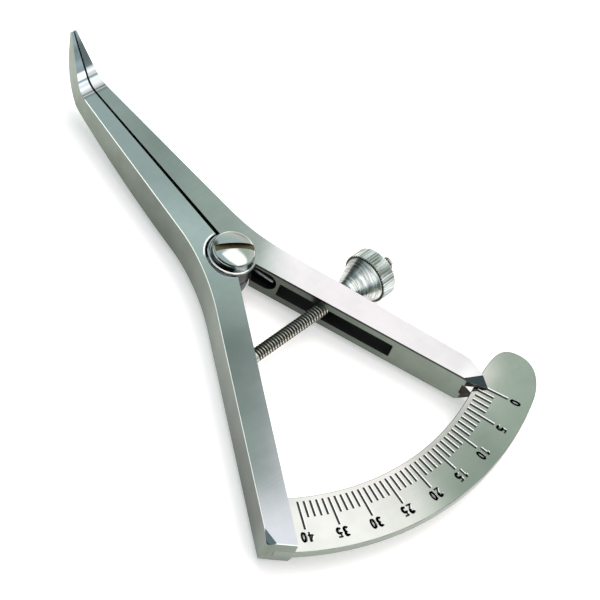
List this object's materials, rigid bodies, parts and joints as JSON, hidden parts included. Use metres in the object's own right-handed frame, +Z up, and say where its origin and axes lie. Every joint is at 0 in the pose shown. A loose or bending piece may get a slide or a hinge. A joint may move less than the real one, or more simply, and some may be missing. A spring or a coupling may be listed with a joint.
{
  "type": "two-arm arc caliper",
  "caption": "Small steel measuring caliper with two pivoted arms, pointed jaws, an engraved millimetre arc plate and a knurled thumb nut on a threaded rod.",
  "frame": {"origin": "on the pivot axis at the flat underside of the two arms", "axes": "+Y from the pivot along the closed jaws to their points, +X to the side of the moving arm and its thumb nut, +Z up along the pivot axis to the screw head"},
  "size_m": [0.0606, 0.0986, 0.0142],
  "materials": {
    "satin_steel": "satin",
    "polished_steel": "polished",
    "turned_steel": "fine turned",
    "spring_steel": "drawn wire"
  },
  "bodies": {
    "fixed": {"fixed_arm": "satin_steel", "scale_plate": "satin_steel", "pivot_screw": "polished_steel", "rod_pin": "turned_steel", "return_spring": "spring_steel"},
    "moving": {"moving_arm": "satin_steel"},
    "rod": {"adjusting_rod": "turned_steel"},
    "nut": {"thumb_nut": "turned_steel"}
  },
  "joints": [
    {"name": "arm_hinge", "type": "hinge", "parent": "fixed", "child": "moving", "pos_m": [0, 0, 0], "axis": [0, 0, 1], "range_deg": [-53.3, 0], "deforming": ["return_spring"]},
    {"name": "rod_swing", "type": "hinge", "parent": "fixed", "child": "rod", "pos_m": [-0.01099, -0.01611, 0], "axis": [0, 0, 1], "range_deg": [-26.75, 0]},
    {"name": "nut_travel", "type": "slide", "parent": "rod", "child": "nut", "axis": [0.9966, 0.0819, 0], "range_m": [-0.0164, 0]}
  ],
  "couplings": [
    {"joint": "rod_swing", "follows": "arm_hinge", "ratio": 0.5},
    {"joint": "nut_travel", "follows": "arm_hinge", "m_per_rad": 0.0175}
  ]
}
